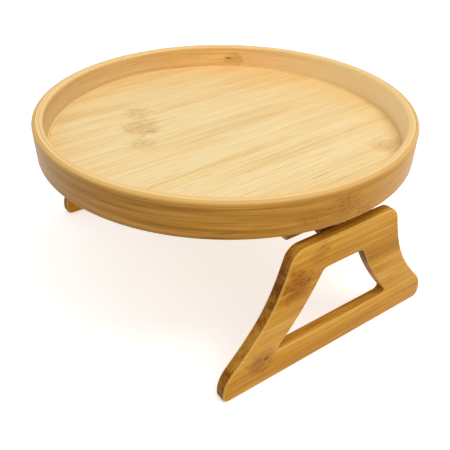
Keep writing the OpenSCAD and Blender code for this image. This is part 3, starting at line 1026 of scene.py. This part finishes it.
def makeSpring(side, setup):
    path = curveObject(side + "SpringPath", springPath(side, setup), False)
    circle = circlePoints(setup["wireRadius"], setup["wireSides"])
    section = curveObject(side + "SpringSection", circle, True)
    spring = runTree(sweepTree, side + "_torsion_spring_wire",
                     {"Path": path, "Section": section, "Material": materials["spring"]})
    bpy.data.objects.remove(path)
    bpy.data.objects.remove(section)
    mendNormals(spring)
    smooth(spring.data, "spring")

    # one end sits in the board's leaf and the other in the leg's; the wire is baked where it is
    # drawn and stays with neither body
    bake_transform(spring)
    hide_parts(side + "_torsion_spring")


for side in sides:
    makeSpring(side, springSetup)
print("springs wound")


# screws

boardScrew = {       # radii, rise of the thread and depth of the cross
    "shank": 1.8 * mm, "head": 3.6 * mm, "tip": 0.45 * mm, "thread": 0.9 * mm, "cross": 0.9 * mm,
}
leafScrew = {
    "shank": 1.2 * mm, "head": 2.4 * mm, "tip": 0.3 * mm, "thread": 0.7 * mm, "cross": 0.6 * mm,
}
screwShape = {
    "steps": 28,
    "root": 0.8, "crest": 0.98,     # of the thread, as shares of the shank
    "rootPlace": 0.35,              # from root to crest, as a share of the thread's rise
    "rimEase": 0.92, "rimDrop": 0.12 * mm,      # the head's eased rim
    "crossReach": 0.62, "crossHalf": 0.10,      # of the cross, as shares of the head
    "crossTaper": 0.7,
    "crossAbove": 0.2 * mm,         # how far the cutter starts above the head
}


def screwTemplate(name, look, shared, length):
    # turned on a lathe about Z, head level with zero, then the cross is cut
    head, shank, thread = look["head"], look["shank"], look["thread"]
    root, crest = shank * shared["root"], shank * shared["crest"]
    neck, taper = head - shank, length - 2 * shank
    outline = [(0, 0), (head * shared["rimEase"], 0), (head, shared["rimDrop"]), (shank, neck)]
    z = neck + thread
    while z < taper:
        outline += [(root, z - thread * shared["rootPlace"]), (crest, z)]
        z += thread
    outline += [(root, taper), (look["tip"], length), (0, length)]
    shape = bmesh.new()
    verts = [shape.verts.new((x, 0, z)) for x, z in outline]
    edges = [shape.edges.new((verts[k], verts[k + 1])) for k in range(len(verts) - 1)]
    bmesh.ops.spin(shape, geom=verts + edges, cent=(0, 0, 0), axis=(0, 0, 1), angle=2 * math.pi,
                   steps=shared["steps"], use_duplicate=False)
    bmesh.ops.remove_doubles(shape, verts=shape.verts, dist=weld)
    bmesh.ops.recalc_face_normals(shape, faces=shape.faces)
    mesh = bpy.data.meshes.new(name)
    shape.to_mesh(mesh)
    shape.free()
    screw = addObject(name, mesh)
    cutter = crossCutter(name + "Cross", look, shared)
    cut = screw.modifiers.new("cross", "BOOLEAN")
    cut.object = cutter
    cut.solver = "EXACT"
    screw = bakeModifiers(screw, name)
    bpy.data.objects.remove(cutter)
    smooth(screw.data, "screw")
    return screw


def crossCutter(name, look, shared):
    reach, half = look["head"] * shared["crossReach"], look["head"] * shared["crossHalf"]
    outline, taper = [], shared["crossTaper"]
    for c, s in ((1, 0), (0, 1), (-1, 0), (0, -1)):
        # one arm of the cross at each quarter turn
        outline += [(c * x - s * y, s * x + c * y) for x, y in
                    ((reach, -half), (reach, half), (half, half))]
    shape = bmesh.new()
    top = [shape.verts.new((x, y, -shared["crossAbove"])) for x, y in outline]
    deep = [shape.verts.new((x * taper, y * taper, look["cross"])) for x, y in outline]
    shape.faces.new(top)
    shape.faces.new(list(reversed(deep)))
    for k in range(len(outline)):
        after = (k + 1) % len(outline)
        shape.faces.new((top[k], deep[k], deep[after], top[after]))
    bmesh.ops.recalc_face_normals(shape, faces=shape.faces)
    mesh = bpy.data.meshes.new(name)
    shape.to_mesh(mesh)
    shape.free()
    return addObject(name, mesh)


def makeScrewTree():
    # sets a screw on every point
    tree, given, result = newTree("screwOnPoints", {
        "Points": "NodeSocketObject", "Screw": "NodeSocketObject",
        "Turn": "NodeSocketVector", "Material": "NodeSocketMaterial"})
    points = addNode(tree, "GeometryNodeObjectInfo")
    screw = addNode(tree, "GeometryNodeObjectInfo")
    place = addNode(tree, "GeometryNodeInstanceOnPoints")
    realize = addNode(tree, "GeometryNodeRealizeInstances")
    paint = addNode(tree, "GeometryNodeSetMaterial")
    tree.links.new(given.outputs["Points"], points.inputs["Object"])
    tree.links.new(given.outputs["Screw"], screw.inputs["Object"])
    tree.links.new(points.outputs["Geometry"], place.inputs["Points"])
    tree.links.new(screw.outputs["Geometry"], place.inputs["Instance"])
    tree.links.new(given.outputs["Turn"], place.inputs["Rotation"])
    tree.links.new(place.outputs[0], realize.inputs[0])
    tree.links.new(realize.outputs[0], paint.inputs["Geometry"])
    tree.links.new(given.outputs["Material"], paint.inputs["Material"])
    tree.links.new(paint.outputs[0], result.inputs[0])
    return tree


screwTree = makeScrewTree()


def makeScrews(node, body, look, axis, turn, rows):
    # screws at shares of the node's box, from -1 to 1 each way, with their heads at its outer face
    low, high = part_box(node)
    length = (high - low)[axis]
    flat = [k for k in range(3) if k != axis]
    spots = []
    for row in rows[0]:
        for column in rows[1]:
            spot = Vector((0, 0, 0))
            for k, share in zip(flat, (row, column)):
                room = (high[k] - low[k]) / 2 - look["head"]
                spot[k] = (low[k] + high[k]) / 2 + share * room
            spot[axis] = low[axis] if turn[1] >= 0 else high[axis]
            spots.append(spot)
    template = screwTemplate(node + "Template", look, screwShape, length)
    mesh = bpy.data.meshes.new(node + "Points")
    mesh.from_pydata(spots, [], [])
    points = addObject(node + "Points", mesh)
    screws = runTree(screwTree, node + "_driven", {
        "Points": points, "Screw": template, "Turn": turn, "Material": materials["screw"]})
    bpy.data.objects.remove(points)
    bpy.data.objects.remove(template)
    settle(screws, body, "screw_steel", node)


makeScrews("base_board_screws", "tray", boardScrew, 2, (0, 0, 0), ((-1, 0, 1), (-1, 1)))
for side, sign in sides.items():
    sideways = (0, sign * math.pi / 2, 0)
    makeScrews(side + "_board_leaf_screws", "tray", leafScrew, 2, (0, 0, 0), ((0,), (-1, 1)))
    makeScrews(side + "_leg_leaf_screws", side + "_leg", leafScrew, 0, sideways, ((-1, 1), (0,)))
print("screws driven")

print("all pieces made")
